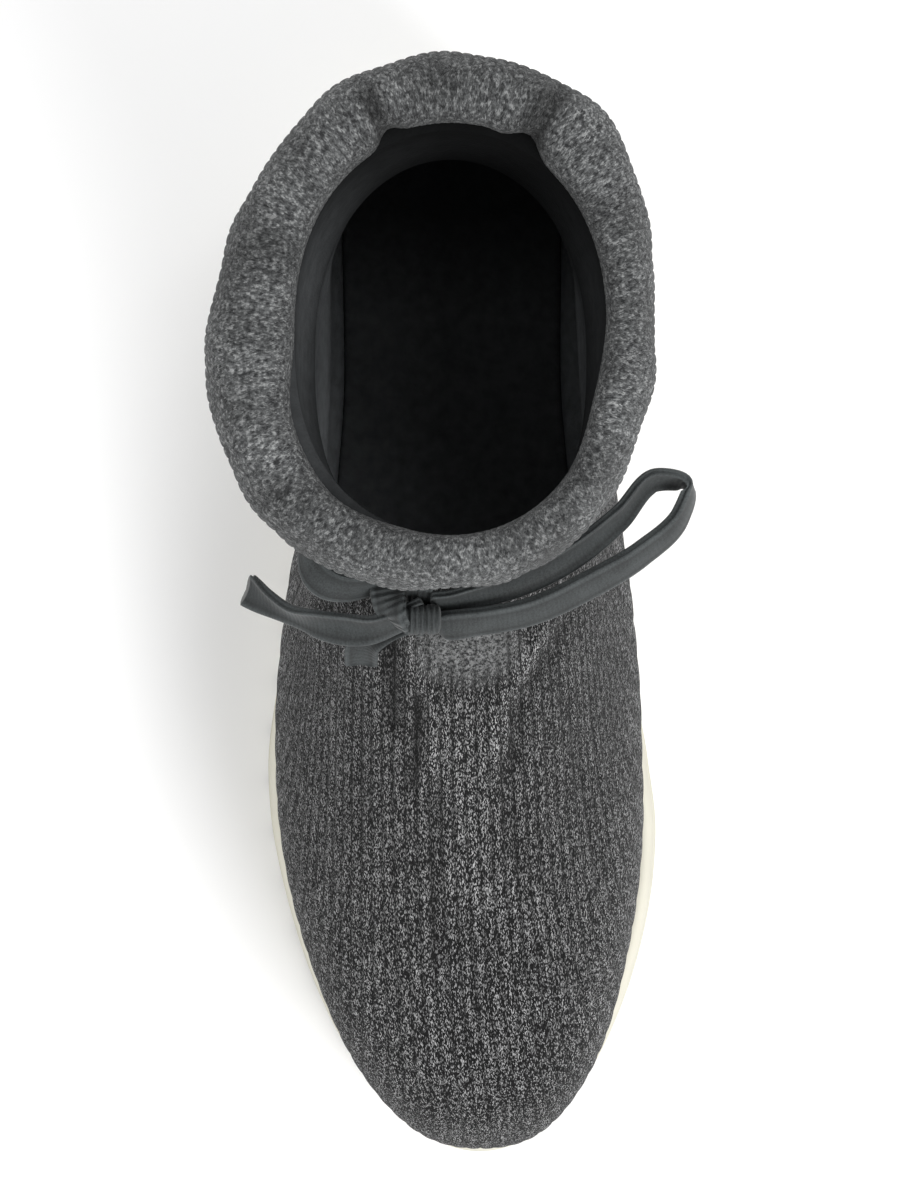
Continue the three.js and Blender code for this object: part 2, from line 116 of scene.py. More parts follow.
camera_data = bpy.data.cameras.new("camera")
camera_data.lens = CAMERA_LENS
camera_data.sensor_width = 36
camera_data.clip_end = 20
camera = bpy.data.objects.new("camera", camera_data)
camera.location = CAMERA_PLACE
camera.rotation_euler = (0, 0, math.pi / 2)
bpy.context.collection.objects.link(camera)
bpy.context.scene.camera = camera
bpy.context.scene.view_settings.view_transform = "Standard"

room = bpy.data.worlds.new("room")
room.use_nodes = True
room.node_tree.nodes["Background"].inputs["Color"].default_value = (1, 1, 1, 1)
room.node_tree.nodes["Background"].inputs["Strength"].default_value = ROOM_LIGHT
bpy.context.scene.world = room

for lamp_name, place, size, watts in LAMPS:
    lamp_data = bpy.data.lights.new(lamp_name, "AREA")
    lamp_data.size = size
    lamp_data.energy = watts
    lamp = bpy.data.objects.new(lamp_name, lamp_data)
    lamp.location = place
    aim = -lamp.location
    lamp.rotation_euler = aim.to_track_quat("-Z", "Y").to_euler()
    bpy.context.collection.objects.link(lamp)

floor_mesh = bpy.data.meshes.new("floor")
floor_skin = bmesh.new()
bmesh.ops.create_grid(floor_skin, x_segments=1, y_segments=1, size=FLOOR_SIZE / 2)
floor_skin.to_mesh(floor_mesh)
floor_skin.free()
floor_finish = new_finish("pale_floor", Base_Color=(0.93, 0.93, 0.93, 1), Roughness=0.9)[0]
floor_mesh.materials.append(floor_finish)
floor = bpy.data.objects.new("floor", floor_mesh)
bpy.context.collection.objects.link(floor)

# Half bow. One flat braided tape, 8 mm wide, goes from its short tail under the knot, out to the
# inner side in a long standing loop and back. The other end lies over the outer side of the foot.
TAPE_WIDTH = 8
TAPE_THICKNESS = 2
TAPE_CURL = 0.9
TAPE_RIB = 1.2
KNOT_OFFSET = -10.2
SHORT_TAIL_AND_LOOP = [
    ((13, -11.2, -18.5), (0, 1, 0)),
    ((8.5, -10.6, -13.5), (0.3, 0.9, 0)),
    ((4.5, -5.8, -10), (0.8, 0.5, 0)),
    ((2, 1.6, -6.8), (1, 0, 0.1)),
    ((3.4, 5, -3), (0.4, 0, 0.6)),
    ((3.8, 9, -1.2), (-0.7, 0, 0.7)),
    ((2.9, 16.9, -2), (-0.7, 0, 0.7)),
    ((0.7, 28.5, -3), (-0.7, -0.1, 0.7)),
    ((-6, 43.4, -5), (-0.7, -0.2, 0.68)),
    ((-13.2, 55.4, -7), (-0.6, -0.2, 0.77)),
    ((-22, 64.5, -8.5), (-0.5, -0.2, 0.84)),
    ((-29, 66.2, -9), (-0.4, -0.2, 0.87)),
    ((-30.5, 59.2, -8), (-0.45, -0.2, 0.87)),
    ((-21.5, 50.3, -6), (-0.6, -0.2, 0.77)),
    ((-12.2, 38.5, -3), (-0.7, -0.2, 0.68)),
    ((-6.3, 26.7, -1), (-0.7, -0.1, 0.7)),
    ((-2.6, 14.5, 0), (-0.6, 0, 0.8)),
    ((-1.2, 9, 0), (-0.6, 0, 0.8)),
    ((-1, 6, 0), (-0.6, 0, 0.8)),
]
LONG_TAIL = [
    ((0, 4, 0.4), (-0.6, 0, 0.8)),
    ((2.6, -2, 0), (-0.6, 0, 0.8)),
    ((4.8, -8.2, -0.6), (-0.7, 0, 0.7)),
    ((4.9, -14.5, -3), (-0.85, 0, 0.5)),
    ((3.9, -20.5, -5.5), (-0.75, 0, 0.65)),
    ((2, -26.6, -9), (-0.4, 0, 0.9)),
    ((-1.3, -33, -13.3), (-0.6, 0.05, 0.75)),
    ((-4.5, -38.3, -18), (-0.85, 0.35, 0.3)),
]
TAPE_CORNER = [
    (0, 0.72), (1.5, 0.74), (2.5, 0.84), (3.1, 1.05), (3.6, 1.1), (3.95, 0.85), (3.95, 0.45), (3.5, 0.1),
]
TAPE_EDGE = 3.5
TAPE_GROOVE = 2.3
TAPE_STEP = 0.7
TAPE_RIB_DEPTH = 0.00002
TAPE_RIB_TONE = 0.03
SEALED_SHADE = (0.5, 0.5, 0.49)
TAIL_POINTS = 24


def smooth(rows, places, at):
    """The rows at any place between their own places, on one smooth curve through them."""
    rows = np.asarray(rows, float)
    places = np.asarray(places, float)
    shape = (-1,) + (1,) * (rows.ndim - 1)
    span = np.diff(places)
    slope = np.diff(rows, axis=0) / span.reshape(shape)
    before = span[:-1].reshape(shape)
    after = span[1:].reshape(shape)
    inner = (slope[:-1] * after + slope[1:] * before) / (before + after)
    tangent = np.concatenate([slope[:1], inner, slope[-1:]])
    last = np.clip(np.searchsorted(places, at), 1, len(places) - 1)
    wide = span[last - 1].reshape(shape)
    t = ((at - places[last - 1]) / span[last - 1]).reshape(shape)
    value = rows[last - 1] * (2 * t**3 - 3 * t**2 + 1) + rows[last] * (3 * t**2 - 2 * t**3)
    return value + wide * (tangent[last - 1] * (t**3 - 2 * t**2 + t) + tangent[last] * (t**3 - t**2))


def unit(vectors):
    """The same directions, one long."""
    return vectors / np.maximum(np.linalg.norm(vectors, axis=-1, keepdims=True), 1e-9)


def loft(rings, along, closed=False, relief=None):
    """A skin through rings of points: a circle on the first ring, extruded from ring to ring.
    relief is how far each point stands above the plain form, or how much it is painted as if it did, which
    the finish turns into painted shade and light."""
    skin = bmesh.new()
    stands = skin.verts.layers.float.new("relief")
    around = len(rings[0])
    row = bmesh.ops.create_circle(skin, segments=around, radius=1)["verts"]
    edges = skin.edges[:]
    rows = []
    last = len(rings) if closed else len(rings) - 1
    for number in range(last + 1):
        if number > 0:
            column = {vert: index for index, vert in enumerate(row)}
            grown = bmesh.ops.extrude_edge_only(skin, edges=edges)["geom"]
            edges = [part for part in grown if isinstance(part, bmesh.types.BMEdge)]
            for vert in [part for part in grown if isinstance(part, bmesh.types.BMVert)]:
                for edge in vert.link_edges:
                    below = edge.other_vert(vert)
                    if below in column:
                        row[column[below]] = vert
        for vert, point in zip(row, rings[number % len(rings)]):
            vert.co = point
        rows.append(list(row))
    if closed:
        bmesh.ops.weld_verts(skin, targetmap=dict(zip(rows.pop(), rows[0])))
    for row, heights in zip(rows, relief if relief is not None else []):
        for vert, height in zip(row, heights):
            vert[stands] = height
    home = {vert: (index, number) for number, row in enumerate(rows) for index, vert in enumerate(row)}
    layer = skin.loops.layers.uv.new("cloth")
    for face in skin.faces:
        spots = [home[loop.vert] for loop in face.loops]
        over_seam = max(spot[0] for spot in spots) - min(spot[0] for spot in spots) > 1
        over_end = max(spot[1] for spot in spots) - min(spot[1] for spot in spots) > 1
        for loop, (index, number) in zip(face.loops, spots):
            across = around if over_seam and index == 0 else index
            place = len(rings) if over_end and number == 0 else number
            loop[layer].uv = (across / around, along[place])
    return skin


def add_piece(name, skin, finish, slot, *nodes):
    """A finished piece of the shoe from its skin in millimetres, in place of these CAD nodes."""
    bmesh.ops.remove_doubles(skin, verts=skin.verts, dist=0.001)
    bmesh.ops.recalc_face_normals(skin, faces=skin.faces)
    bmesh.ops.scale(skin, vec=(0.001, 0.001, 0.001), verts=skin.verts)
    mesh = bpy.data.meshes.new(name)
    skin.to_mesh(mesh)
    skin.free()
    mesh.shade_smooth()
    mesh.materials.append(finish)
    piece = bpy.data.objects.new(name, mesh)
    bpy.context.collection.objects.link(piece)
    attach(piece, "root")
    if nodes:
        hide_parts(*nodes)
    return piece


def tape_finish(name, rib, rib_depth, rib_tone, pale_from=1000):
    """Dark braided tape: fine ribs across its width, a dull sheen and slightly uneven dye, with its raised
    edges painted lighter and its grooves painted darker. Past pale_from along the tape its sealed end is
    pale."""
    finish, tree, shader = new_finish(
        name, Roughness=0.66, Specular_IOR_Level=0.35, Sheen_Weight=0.12, Sheen_Roughness=0.45
    )
    cloth = add_node(tree, "ShaderNodeUVMap", {}, uv_map="cloth").outputs[0]
    along = add_node(tree, "ShaderNodeSeparateXYZ", {0: cloth}).outputs[1]
    ribs = maths(tree, "SINE", maths(tree, "MULTIPLY", along, 2 * math.pi / rib))
    place = add_node(tree, "ShaderNodeTexCoord", {}).outputs["Object"]
    fibres = noise(tree, place, 2400, 3)
    tone = maths(tree, "MULTIPLY_ADD", ribs, rib_tone, fibres)
    mixed = maths(tree, "MULTIPLY_ADD", noise(tree, place, 150, 2), 0.6, tone)
    dye = shades_of(tree, mixed, [(0.35, (0.007, 0.008, 0.0085)), (1, (0.043, 0.049, 0.05))])
    # Painted highlight and shade: the relief makes the raised edges lighter and the grooves darker.
    stands = add_node(tree, "ShaderNodeAttribute", {}, attribute_name="relief").outputs["Fac"]
    dye_with_painted_edges = scaled(tree, dye, maths(tree, "MULTIPLY_ADD", stands, 0.5, 1.0))
    sealed = add_node(tree, "ShaderNodeMapRange", {0: along, 1: pale_from - 0.6, 2: pale_from + 0.3})
    blend = add_node(
        tree, "ShaderNodeMix", {0: sealed.outputs[0], 6: dye_with_painted_edges, 7: (*SEALED_SHADE, 1)}, data_type="RGBA"
    )
    relief = maths(tree, "MULTIPLY_ADD", fibres, 0.7, ribs)
    finish_with(tree, shader, blend.outputs[2], 1, rib_depth, relief)
    return finish


knot_low, knot_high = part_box("tie_knot")
knot_middle = np.array(knot_low + knot_high) * 500
tape_quarter = np.array(TAPE_CORNER)
tape_half = np.concatenate([tape_quarter, (tape_quarter * (1, -1))[::-1]])
tape_section = np.concatenate([tape_half, -tape_half])
tape_section[:, 1] += TAPE_CURL * (1 - (tape_section[:, 0] * 2 / TAPE_WIDTH) ** 2)
braid = tape_finish("braided_tape", TAPE_RIB, TAPE_RIB_DEPTH, TAPE_RIB_TONE)


def painted_tape_edges(rings):
    """How much the tape's raised woven edges are painted lighter and the grooves beside them painted darker.
    """
    away = np.abs(tape_section[:, 0])
    marks = np.exp(-(((away - TAPE_EDGE) / 0.5) ** 2)) - np.exp(-(((away - TAPE_GROOVE) / 0.7) ** 2))
    return np.tile(marks, (len(rings), 1))


def tape_skin(route):
    """A tape along a route from the knot's middle, its rounded ends closed. Gives its line too."""
    line = np.array([place for place, across in route], float)
    lean = np.array([across for place, across in route], float)
    along = np.concatenate([[0], np.cumsum(np.linalg.norm(np.diff(line, axis=0), axis=1))])
    even = np.linspace(0, along[-1], round(along[-1] / TAPE_STEP))
    centre = smooth(line, along, even) + knot_middle
    forward = unit(np.gradient(centre, axis=0))
    wide = smooth(lean, along, even)
    wide = unit(wide - forward * np.sum(wide * forward, axis=1, keepdims=True))
    thick = np.cross(forward, wide)
    offset = wide[:, None] * tape_section[:, :1] + thick[:, None] * tape_section[:, 1:]
    rings = list(centre[:, None] + offset)
    for size, out in ((0.9, 0.25), (0.6, 0.5), (0, 0.6)):
        rings.insert(0, centre[0] - forward[0] * out + offset[0] * size)
        rings.append(centre[-1] + forward[-1] * out + offset[-1] * size)
    length = np.concatenate([[0, 0, 0], even, [even[-1]] * 3])
    return loft(rings, length, relief=painted_tape_edges(rings)), centre


def metres(points, count):
    """Evenly chosen points of a tape's line, in metres."""
    chosen = np.linspace(0, len(points) - 1, count).round().astype(int)
    return [tuple(float(value) * 0.001 for value in points[index]) for index in chosen]


def line_length(points):
    """Length of a line, in metres to the millimetre."""
    return round(sum(math.dist(a, b) for a, b in zip(points, points[1:])), 3)


loop_skin, loop_line = tape_skin(SHORT_TAIL_AND_LOOP)
bow_loop = add_piece("bow_loop", loop_skin, braid, "tape", "tie_loop", "tie_tail_short")
tail_skin, tail_line = tape_skin(LONG_TAIL)
tail_path = metres(tail_line, TAIL_POINTS)
tail_end = line_length(tail_path) * 1000 + 0.3
tail_tape = tape_finish("braided_tail_tape", TAPE_RIB, TAPE_RIB_DEPTH, TAPE_RIB_TONE, pale_from=tail_end)
bow_long_tail = add_piece("bow_long_tail", tail_skin, tail_tape, "tape", "tie_tail_long")

# Knot. The same tape wrapped over the loop's two legs and pulled flat, so its ribs run round the
# legs. Beside the wrap it comes round once more from the ankle and twists in under it.
KNOT_RIB = 1.3
KNOT_POWER = 0.72
WRAP_MIDDLE = (2.4, 3.2, -0.2)
WRAP_HALF = (3.7, 5, 5.3)
WRAP_SWELL = [
    (0, 0.05), (0.03, 0.6), (0.1, 0.86), (0.3, 1), (0.55, 0.95), (0.62, 0.9), (0.7, 1), (0.86, 0.96),
    (0.96, 0.7), (1, 0.05),
]
KNOT_TURN = [
    ((-6, -5, -2.5), (0, 1, 0)),
    ((-4.6, -4.9, 1.6), (0.1, 1, 0)),
    ((-1.5, -4.2, 3.4), (0.2, 0.9, 0.2)),
    ((1.4, -2.8, 3.2), (0.3, 0.6, 0.6)),
    ((3.4, -1.2, 1), (0.3, 0.4, 0.8)),
]
KNOT_BACK = [
    ((-3.8, -6.5, -1.2), (-0.4, 0, 0.9)),
    ((-4, 0, -0.6), (-0.5, 0, 0.85)),
    ((-3.6, 5.5, -0.8), (-0.5, 0, 0.85)),
]
WRAP_AROUND = 72
WRAP_ROWS = 70


def eased(rows, at):
    """The value of a table of place and value, level where two rows are alike."""
    place, value = np.array(rows, float).T
    span = np.diff(place)
    slope = np.diff(value) / span
    both = slope[:-1] * slope[1:]
    total = np.where(both > 0, slope[:-1] + slope[1:], 1)
    tangent = np.concatenate([[0], np.where(both > 0, 2 * both / total, 0), [0]])
    at = np.clip(at, place[0], place[-1])
    last = np.clip(np.searchsorted(place, at), 1, len(place) - 1)
    t = (at - place[last - 1]) / span[last - 1]
    blend = t * t * (3 - 2 * t)
    start = t * (1 - t) ** 2 * span[last - 1] * tangent[last - 1]
    end = t * t * (1 - t) * span[last - 1] * tangent[last]
    return value[last - 1] + (value[last] - value[last - 1]) * blend + start - end


wrap_turn = np.arange(WRAP_AROUND) / WRAP_AROUND * 2 * math.pi
wrap_share = np.linspace(0, 1, WRAP_ROWS)
wrap_along = wrap_share * 2 * WRAP_HALF[1]
wrap_swell = eased(WRAP_SWELL, wrap_share) + 0.025 * np.cos(wrap_along * 2 * math.pi / KNOT_RIB)
wrap_side = np.sign(np.cos(wrap_turn)) * np.abs(np.cos(wrap_turn)) ** KNOT_POWER
wrap_rise = np.sign(np.sin(wrap_turn)) * np.abs(np.sin(wrap_turn)) ** KNOT_POWER
wrap_middle = knot_middle + WRAP_MIDDLE
wrap_rings = [
    np.stack([
        wrap_middle[0] + WRAP_HALF[0] * swell * wrap_side,
        np.full(WRAP_AROUND, wrap_middle[1] - WRAP_HALF[1] + place),
        wrap_middle[2] + WRAP_HALF[2] * swell * wrap_rise,
    ], axis=1)
    for place, swell in zip(wrap_along, wrap_swell)
]
for place in (0, -1):
    wrap_rings[place][:] = wrap_rings[place].mean(axis=0)
knot_skin = loft(wrap_rings, wrap_along)
for route in (KNOT_TURN, KNOT_BACK):
    turn_mesh = bpy.data.meshes.new("knot_turn")
    turn_skin = tape_skin(route)[0]
    turn_skin.to_mesh(turn_mesh)
    turn_skin.free()
    knot_skin.from_mesh(turn_mesh)
    bpy.data.meshes.remove(turn_mesh)
knot_finish = tape_finish("knot_tape", KNOT_RIB, 0.00016, 0.14)
add_piece("bow_knot", knot_skin, knot_finish, "tape", "tie_knot")

# Sole. A rubber outsole with cross grooves under a foam unit, whose stepped side leans in to a
# rim that holds the knit. Both follow one outline, wide at the ball on the inner side.
SOLE_LENGTH = 270
BALL_WIDTH = 99.4
TOE_SPRING = 9.5
RIM_LEVEL = 31.5
RIM_RISE = 7
RIM_WALL = 2.4
SIDE_FLARE = 2.6
SIDE_STEP = 0.9
OUTSOLE_THICKNESS = 5.5
SOLE_BEVEL = 2
TREAD_DEPTH = 2.2
TREAD_GROOVE = 3
TREAD_PITCH = 13
CLEARANCE = 0.3
SOLE_CENTRE = [
    (0.12, 0.003), (0.25, 0.005), (0.37, 0.008), (0.48, 0.013), (0.56, 0.014), (0.63, 0.02),
    (0.68, 0.032), (0.76, 0.047), (0.9, 0.062), (1, 0.075),
]
SOLE_HALF = [
    (0.12, 0.36), (0.25, 0.357), (0.37, 0.38), (0.48, 0.432), (0.56, 0.465), (0.63, 0.494), (0.68, 0.5),
    (1, 0.5),
]
SOLE_LIFT = [
    (0, 0.3), (0.05, 0), (0.22, 0), (0.36, 0.24), (0.5, 0), (0.72, 0), (0.85, 0.27), (0.95, 0.7), (1, 1),
]
SOLE_RIM = [
    (0, 1), (0.05, 0.99), (0.22, 0.905), (0.36, 0.825), (0.5, 0.778), (0.6, 0.762), (0.72, 0.765),
    (0.85, 0.79), (0.95, 0.865), (1, 0.93),
]
SOLE_ENDS = (0.32, 0.124, 1.62, 2.3)
SOLE_AROUND = 288


def turns(count):
    """Shares of a turn from the heel round the outer side to the toe and back."""
    return (np.arange(count) / count + 0.5) % 1


def plan_ring(turn, front, rear, centre, half, ends):
    """A closed plan whose sides follow centre and half and whose ends round off."""
    toe, heel, toe_power, heel_power = ends
    length = front - rear
    x = (front + rear) / 2 + length / 2 * np.cos(turn * 2 * math.pi)
    ahead = np.maximum(0, 1 - (front - x) / (toe * length))
    behind = np.maximum(0, 1 - (x - rear) / (heel * length))
    fullness = (1 - ahead**toe_power) * (1 - behind**heel_power)
    side = np.where(turn < 0.5, 1, -1)
    y = centre(x) + side * half(x) * np.sqrt(np.maximum(0, fullness))
    return np.stack([x, y, np.zeros_like(x)], axis=1)


def outward(ring):
    """Outward directions of a ring seen from above."""
    run = np.roll(ring, -1, axis=0) - np.roll(ring, 1, axis=0)
    return unit(np.stack([run[:, 1], -run[:, 0], np.zeros(len(ring))], axis=1))


def inset_ring(ring, inset, level):
    """A ring moved in by a distance, at the level given for each place along the shoe."""
    moved = ring - outward(ring) * inset
    moved[:, 2] = level(moved[:, 0])
    return moved


def spine(ring):
    """The line along the middle of a ring, which closes the face inside it."""
    return (ring + np.roll(ring[::-1], 1, axis=0)) / 2


def lift(x):
    return TOE_SPRING * eased(SOLE_LIFT, x / SOLE_LENGTH)


def rim_level(x):
    return RIM_LEVEL * eased(SOLE_RIM, x / SOLE_LENGTH)


def footbed_level(x):
    return rim_level(x) - RIM_RISE


def sole_outline(count):
    return plan_ring(
        turns(count), SOLE_LENGTH, 0, lambda x: BALL_WIDTH * eased(SOLE_CENTRE, x / SOLE_LENGTH),
        lambda x: BALL_WIDTH * eased(SOLE_HALF, x / SOLE_LENGTH), SOLE_ENDS,
    )


# The shoe is drawn from the heel, and stands in the frame with its middle at the origin.
SHOE_SHIFT = np.array([-SOLE_LENGTH / 2, knot_middle[1] - KNOT_OFFSET, 0])
SEAT_INSET = SIDE_FLARE + RIM_WALL + CLEARANCE


def shifted(rings):
    """Rings of the shoe moved into the frame."""
    return [ring + SHOE_SHIFT for ring in rings]


def moulded_finish(name, shade, grain, depth, roughness):
    """Moulded foam or rubber: a fine skin grain and faint clouding."""
    finish, tree, shader = new_finish(name, Roughness=roughness, Specular_IOR_Level=0.4)
    place = add_node(tree, "ShaderNodeTexCoord", {}).outputs["Object"]
    dulled = [value * 0.93 for value in shade]
    colour = shades_of(tree, noise(tree, place, 45, 3), [(0.3, dulled), (0.7, shade)])
    finish_with(tree, shader, colour, 0.6, depth, noise(tree, place, grain, 4))
    return finish


outline = sole_outline(SOLE_AROUND)
tread = inset_ring(outline, SOLE_BEVEL, lift)
outsole_top = inset_ring(outline, 0, lambda x: lift(x) + OUTSOLE_THICKNESS)


def bevel_ring(angle):
    """A ring of the rounded edge under the sole, by its angle round the edge."""
    rise = SOLE_BEVEL * (1 - math.cos(angle))
    return inset_ring(outline, SOLE_BEVEL * (1 - math.sin(angle)), lambda x: lift(x) + rise)


outsole_rings = [
    spine(tread),
    inset_ring(outline, SOLE_BEVEL + 0.4, lift),
    tread,
    *[bevel_ring(angle) for angle in np.linspace(0.2, math.pi / 2, 6)],
    inset_ring(outline, 0, lambda x: lift(x) + OUTSOLE_THICKNESS - 0.4),
    inset_ring(outline, 0.15, lambda x: lift(x) + OUTSOLE_THICKNESS),
    inset_ring(outline, 0.6, lambda x: lift(x) + OUTSOLE_THICKNESS),
    spine(outsole_top),
]
rubber = moulded_finish("sole_rubber", (0.6, 0.575, 0.475), 900, 0.00015, 0.62)
outsole_skin = loft(shifted(outsole_rings), np.arange(len(outsole_rings)))
outsole = add_piece("outsole_rubber", outsole_skin, rubber, "outsole_rubber", "outsole")

groove_skin = bmesh.new()
for groove_x in np.arange(TREAD_PITCH * 1.5, SOLE_LENGTH - TREAD_PITCH, TREAD_PITCH):
    block = bmesh.ops.create_cube(groove_skin, size=1)["verts"]
    bmesh.ops.scale(groove_skin, vec=(TREAD_GROOVE, BALL_WIDTH * 2, TREAD_DEPTH * 2), verts=block)
    middle = (groove_x + SHOE_SHIFT[0], SHOE_SHIFT[1], float(lift(groove_x)))
    bmesh.ops.translate(groove_skin, vec=middle, verts=block)
bmesh.ops.scale(groove_skin, vec=(0.001, 0.001, 0.001), verts=groove_skin.verts)
groove_mesh = bpy.data.meshes.new("groove_cutter")
groove_skin.to_mesh(groove_mesh)
groove_skin.free()
groove_cutter = bpy.data.objects.new("groove_cutter", groove_mesh)
bpy.context.collection.objects.link(groove_cutter)
grooves = outsole.modifiers.new("grooves", "BOOLEAN")
grooves.operation = "DIFFERENCE"
grooves.solver = "EXACT"
grooves.object = groove_cutter
bpy.context.view_layer.update()
cut_mesh = bpy.data.meshes.new_from_object(outsole.evaluated_get(bpy.context.evaluated_depsgraph_get()))
outsole.modifiers.clear()
outsole.data = cut_mesh
bpy.data.objects.remove(groove_cutter)


def foam_base(x):
    return lift(x) + OUTSOLE_THICKNESS + CLEARANCE


def side_ring(inset, share):
    """A ring of the foam's side, moved in and up by a share of its height."""
    return inset_ring(outline, inset, lambda x: foam_base(x) * (1 - share) + rim_level(x) * share)


RIM_INNER = SEAT_INSET - CLEARANCE
footbed = inset_ring(outline, RIM_INNER, footbed_level)
midsole_rings = [
    spine(side_ring(SIDE_STEP, 0)),
    side_ring(SIDE_STEP + 0.5, 0),
    side_ring(SIDE_STEP, 0.005),
    side_ring(SIDE_STEP / 2, 0.04),
    side_ring(SIDE_STEP / 2, 0.08),
    side_ring(SIDE_FLARE * 0.16, 0.26),
    side_ring(SIDE_FLARE * 0.27, 0.44),
    side_ring(SIDE_FLARE * 0.32, 0.465),
    side_ring(SIDE_FLARE * 0.3 + SIDE_STEP * 0.8, 0.49),
    side_ring(SIDE_FLARE * 0.32 + SIDE_STEP, 0.515),
    side_ring(SIDE_FLARE * 0.35 + SIDE_STEP, 0.55),
    side_ring(SIDE_FLARE * 0.38 + SIDE_STEP * 0.4, 0.585),
    side_ring(SIDE_FLARE * 0.4, 0.61),
    side_ring(SIDE_FLARE * 0.55, 0.73),
    side_ring(SIDE_FLARE * 0.78, 0.9),
    side_ring(SIDE_FLARE * 0.9, 0.95),
    side_ring(SIDE_FLARE + RIM_WALL * 0.15, 0.985),
    side_ring(SIDE_FLARE + RIM_WALL * 0.4, 1),
    side_ring(SIDE_FLARE + RIM_WALL * 0.75, 1),
    side_ring(RIM_INNER, 0.985),
    inset_ring(outline, RIM_INNER, lambda x: footbed_level(x) + 0.4),
    footbed,
    inset_ring(outline, RIM_INNER + 0.6, footbed_level),
    spine(footbed),
]
foam = moulded_finish("sole_foam", (0.63, 0.61, 0.52), 1500, 0.00012, 0.7)
midsole_skin = loft(shifted(midsole_rings), np.arange(len(midsole_rings)))
add_piece("midsole_foam", midsole_skin, foam, "midsole_foam", "midsole")

# Upper. A ribbed sock knitted in one piece from two dark and one pale yarn, closed under the tie.
# Its ribs run from the sole's rim up to the cuff, and the tape gathers it into folds on the instep.
TIE_LEVEL = 122
CUFF_TOP = 175
CUFF_FOLD = 11
SHAFT_TOP = CUFF_TOP - CUFF_FOLD
SHAFT_WIDTH = 76
UPPER_WALL = 2.6
KNIT_WALL = 1.7
UPPER_RIBS = 92
UPPER_AROUND = 480
UPPER_COURSE = 1.25
RIB_DEPTH = 0.34
RIM_DROP = 1.2
INNER_ROWS = 26
GATHERS = 27
# How far the knit stands fuller than the solid, by turn.
KNIT_FULLNESS = [
    (0, 0), (0.05, 1.3), (0.09, 1), (0.15, 0), (0.3, 0.4), (0.7, 0.4), (0.86, -0.2), (0.91, 1), (0.95, 1.3),
    (1, 0),
]
FOOT_CENTRE = [
    (0.12, 0.003), (0.25, 0.015), (0.37, 0.027), (0.48, 0.022), (0.59, 0.02), (0.68, 0.026),
    (0.81, 0.043), (0.92, 0.065), (1, 0.077),
]
FOOT_HALF = [
    (0.12, 0.335), (0.25, 0.352), (0.37, 0.389), (0.48, 0.44), (0.59, 0.466), (0.68, 0.468), (1, 0.468),
]
# Front, toe level, rear, heel level, foot, shaft, ankle and free, as in the solid.
FOOT_ROWS = [
    (0.992, 0.287, 0.007, 0.344, 1, 1, 0, 0.75),
    (0.981, 0.357, 0.006, 0.426, 0.992, 1, 0.05, 1),
    (0.961, 0.41, 0.009, 0.508, 0.965, 0.98, 0.1, 1),
    (0.924, 0.447, 0.017, 0.582, 0.935, 0.96, 0.2, 1),
    (0.872, 0.475, 0.026, 0.648, 0.9, 0.95, 0.3, 1),
    (0.809, 0.508, 0.037, 0.709, 0.87, 0.94, 0.42, 1),
    (0.743, 0.553, 0.048, 0.762, 0.83, 0.94, 0.55, 1),
    (0.676, 0.611, 0.057, 0.811, 0.82, 0.94, 0.68, 1),
    (0.613, 0.68, 0.066, 0.857, 0.82, 0.94, 0.8, 1),
    (0.556, 0.754, 0.072, 0.898, 0.83, 0.94, 0.9, 1),
    (0.509, 0.828, 0.077, 0.934, 0.85, 0.94, 0.97, 1),
    (0.476, 0.898, 0.081, 0.967, 0.87, 0.93, 1, 1),
    (0.457, 0.955, 0.083, 1, 0.87, 0.915, 1, 1),
    (0.452, 1, 0.084, 1.033, 0.87, 0.905, 1, 1),
]
# Front, rear, level and shaft of the rings above the tie.
SHAFT_ROWS = [
    (0.446, 0.082, 0.17, 0.93), (0.443, 0.078, 0.42, 0.968), (0.438, 0.074, 0.71, 0.99), (0.431, 0.072, 1, 1),
]
# The ring of the wall that the tie lies on.
TIE_RING = len(FOOT_ROWS) + 1
# Folds of the instep: height, half width and line seen from above, in the frame.
FOLDS = [
    (-1.3, 1.9, [(2, -13), (12.8, -12.8), (23, -12.5)]),
    (-1.2, 1.7, [(17, -6), (28.8, -7), (39, -8)]),
    (-0.7, 1.5, [(38, -1.8), (52.4, -2.5), (64.2, -3), (84, -2)]),
    (0.9, 2.0, [(2, -8.5), (10.9, -6), (20, -2.5), (34, -3)]),
    (1.0, 1.9, [(-2.4, 24.4), (9.2, 18), (18.4, 12.6), (34, 11.5)]),
    (-0.7, 1.8, [(-2, 29.5), (9, 23), (19, 17.2), (32, 17)]),
    (-0.45, 1.5, [(34, 14.4), (47.5, 15.9), (63, 19.2)]),
    (-0.5, 1.4, [(57, 11.6), (62, 12.9)]),
    (0.6, 5.0, [(22, 3), (45, 5.5), (66, 8)]),
    (-0.4, 1.5, [(10.4, 25.5), (24.5, 30.5), (41.1, 33.9), (59.9, 37.7)]),
    (-0.4, 1.4, [(0, -22), (16, -21), (36, -20), (58, -21)]),
]


def free_ring(turn, front, rear, toe_level, heel_level, foot, shaft, ankle):
    """A free ring of the upper, turned from the foot's plan into the ankle's oval."""
    def centre(x):
        return BALL_WIDTH * eased(FOOT_CENTRE, x / SOLE_LENGTH) * (1 - ankle)

    def half(x):
        low = foot * BALL_WIDTH * eased(FOOT_HALF, x / SOLE_LENGTH)
        return low * (1 - ankle) + shaft * SHAFT_WIDTH / 2 * ankle

    front, rear = front * SOLE_LENGTH, rear * SOLE_LENGTH
    ends = (0.35 + 0.15 * ankle**3, 0.13 + 0.37 * ankle**2, 1.9 + 0.6 * ankle, 2.3)
    ring = plan_ring(turn, front, rear, centre, half, ends)
    ring[:, 2] = heel_level + (toe_level - heel_level) * (ring[:, 0] - rear) / (front - rear)
    return ring


